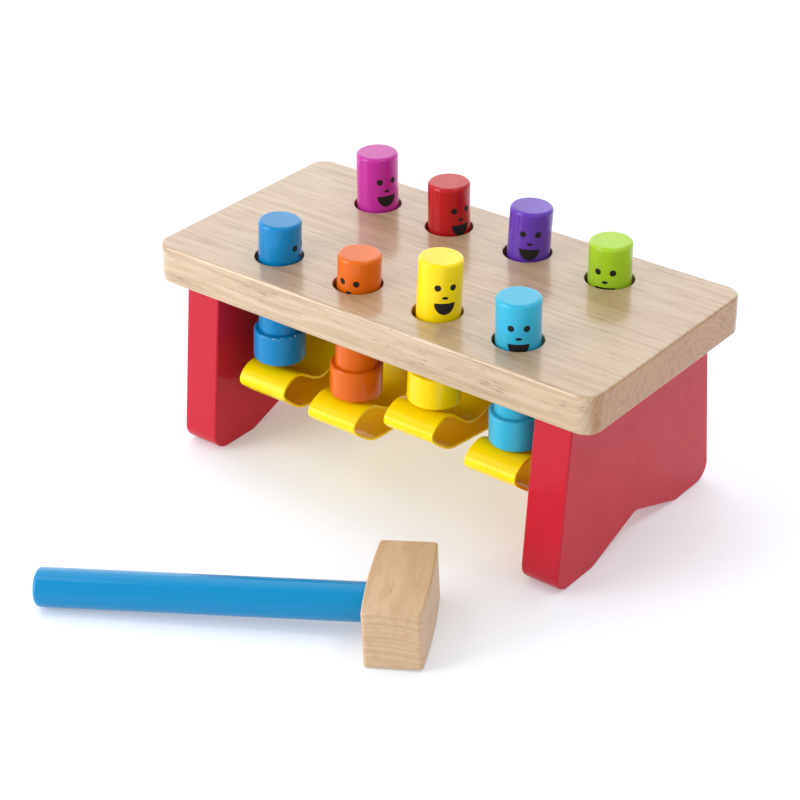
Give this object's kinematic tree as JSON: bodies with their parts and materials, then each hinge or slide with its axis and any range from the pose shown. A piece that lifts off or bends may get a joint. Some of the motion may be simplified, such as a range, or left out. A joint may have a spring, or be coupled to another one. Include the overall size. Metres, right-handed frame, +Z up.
{
  "type": "toy workbench",
  "caption": "Toy pounding bench: thick board on arched panel legs, captive pegs with printed faces sliding through it over flexible rocking loops, and a loose mallet.",
  "frame": {"origin": "on the floor, under the middle of the box around the bench and the mallet that lies in front of it; the bench's own middle is 86.2 mm behind it", "axes": "+X along the board to the right as seen from the front, +Y from the mallet's side to the back of the bench, +Z up"},
  "size_m": [0.29, 0.3198, 0.1529],
  "materials": {
    "lacquered_board": "clear gloss lacquer over pale straight-grained hardwood",
    "red_leg_paint": "satin red paint on wood",
    "bare_wood": "plain sanded wood",
    "loop_plastic": "glossy flexible yellow plastic sheet",
    "mallet_wood": "fine sanded wood with a thin clear coat",
    "face_ink": "thin dark printed ink",
    "mallet_blue_paint": "satin blue paint on wood",
    "blue_peg_paint": "gloss blue paint on turned wood",
    "orange_peg_paint": "gloss orange paint on turned wood",
    "yellow_peg_paint": "gloss yellow paint on turned wood",
    "cyan_peg_paint": "gloss cyan paint on turned wood",
    "magenta_peg_paint": "gloss magenta paint on turned wood",
    "red_peg_paint": "gloss red paint on turned wood",
    "purple_peg_paint": "gloss purple paint on turned wood",
    "green_peg_paint": "gloss green paint on turned wood"
  },
  "bodies": {
    "bench": {"top_board": "lacquered_board", "left_leg": "red_leg_paint", "right_leg": "red_leg_paint", "left_leg_dowels": "bare_wood", "right_leg_dowels": "bare_wood", "loop_rail": "bare_wood"},
    "blue_peg": {"blue_peg": "blue_peg_paint"},
    "magenta_peg": {"magenta_peg": "magenta_peg_paint"},
    "loop_1": {"flexible_loop_1": "loop_plastic"},
    "orange_peg": {"orange_peg": "orange_peg_paint"},
    "red_peg": {"red_peg": "red_peg_paint"},
    "loop_2": {"flexible_loop_2": "loop_plastic"},
    "yellow_peg": {"yellow_peg": "yellow_peg_paint"},
    "purple_peg": {"purple_peg": "purple_peg_paint"},
    "loop_3": {"flexible_loop_3": "loop_plastic"},
    "cyan_peg": {"cyan_peg": "cyan_peg_paint"},
    "green_peg": {"green_peg": "green_peg_paint"},
    "loop_4": {"flexible_loop_4": "loop_plastic"},
    "mallet": {"mallet_head": "mallet_wood", "mallet_handle": "mallet_blue_paint"}
  },
  "joints": [
    {"name": "blue_peg_slide", "type": "slide", "parent": "bench", "child": "blue_peg", "axis": [0.0302, 0.0236, 0.9993], "range_m": [-0.011, 0.021]},
    {"name": "magenta_peg_slide", "type": "slide", "parent": "bench", "child": "magenta_peg", "axis": [0, 0, 1], "range_m": [-0.021, 0.011]},
    {"name": "loop_1_rock", "type": "hinge", "parent": "bench", "child": "loop_1", "pos_m": [-0.0795, 0.0862, 0.054], "axis": [1, 0, 0], "range_deg": [-23.2, 12.2]},
    {"name": "orange_peg_slide", "type": "slide", "parent": "bench", "child": "orange_peg", "axis": [0.0357, 0.0279, 0.999], "range_m": [-0.0155, 0.0245]},
    {"name": "red_peg_slide", "type": "slide", "parent": "bench", "child": "red_peg", "axis": [0, 0, 1], "range_m": [-0.0245, 0.0155]},
    {"name": "loop_2_rock", "type": "hinge", "parent": "bench", "child": "loop_2", "pos_m": [-0.0265, 0.0862, 0.054], "axis": [1, 0, 0], "range_deg": [-26.6, 16.9]},
    {"name": "yellow_peg_slide", "type": "slide", "parent": "bench", "child": "yellow_peg", "axis": [0.0385, 0.0301, 0.9988], "range_m": [-0.0145, 0.0105]},
    {"name": "purple_peg_slide", "type": "slide", "parent": "bench", "child": "purple_peg", "axis": [0.0412, 0.0322, 0.9986], "range_m": [-0.0105, 0.0145]},
    {"name": "loop_3_rock", "type": "hinge", "parent": "bench", "child": "loop_3", "pos_m": [0.0265, 0.0862, 0.054], "axis": [1, 0, 0], "range_deg": [-11.6, 16]},
    {"name": "cyan_peg_slide", "type": "slide", "parent": "bench", "child": "cyan_peg", "axis": [0, 0, 1], "range_m": [-0.0205, 0.0185]},
    {"name": "green_peg_slide", "type": "slide", "parent": "bench", "child": "green_peg", "axis": [0, 0, 1], "range_m": [-0.0185, 0.0205]},
    {"name": "loop_4_rock", "type": "hinge", "parent": "bench", "child": "loop_4", "pos_m": [0.0795, 0.0862, 0.054], "axis": [1, 0, 0], "range_deg": [-20.4, 22.6]},
    {"name": "mallet_lift", "type": "slide", "parent": "bench", "child": "mallet", "axis": [0, 0, 1], "range_m": [0, 0.25]}
  ],
  "couplings": [
    {"joint": "magenta_peg_slide", "follows": "blue_peg_slide", "ratio": -1},
    {"joint": "loop_1_rock", "follows": "blue_peg_slide", "rad_per_m": -19.157},
    {"joint": "red_peg_slide", "follows": "orange_peg_slide", "ratio": -1},
    {"joint": "loop_2_rock", "follows": "orange_peg_slide", "rad_per_m": -18.868},
    {"joint": "purple_peg_slide", "follows": "yellow_peg_slide", "ratio": -1},
    {"joint": "loop_3_rock", "follows": "yellow_peg_slide", "rad_per_m": -19.157},
    {"joint": "green_peg_slide", "follows": "cyan_peg_slide", "ratio": -1},
    {"joint": "loop_4_rock", "follows": "cyan_peg_slide", "rad_per_m": -19.157}
  ]
}
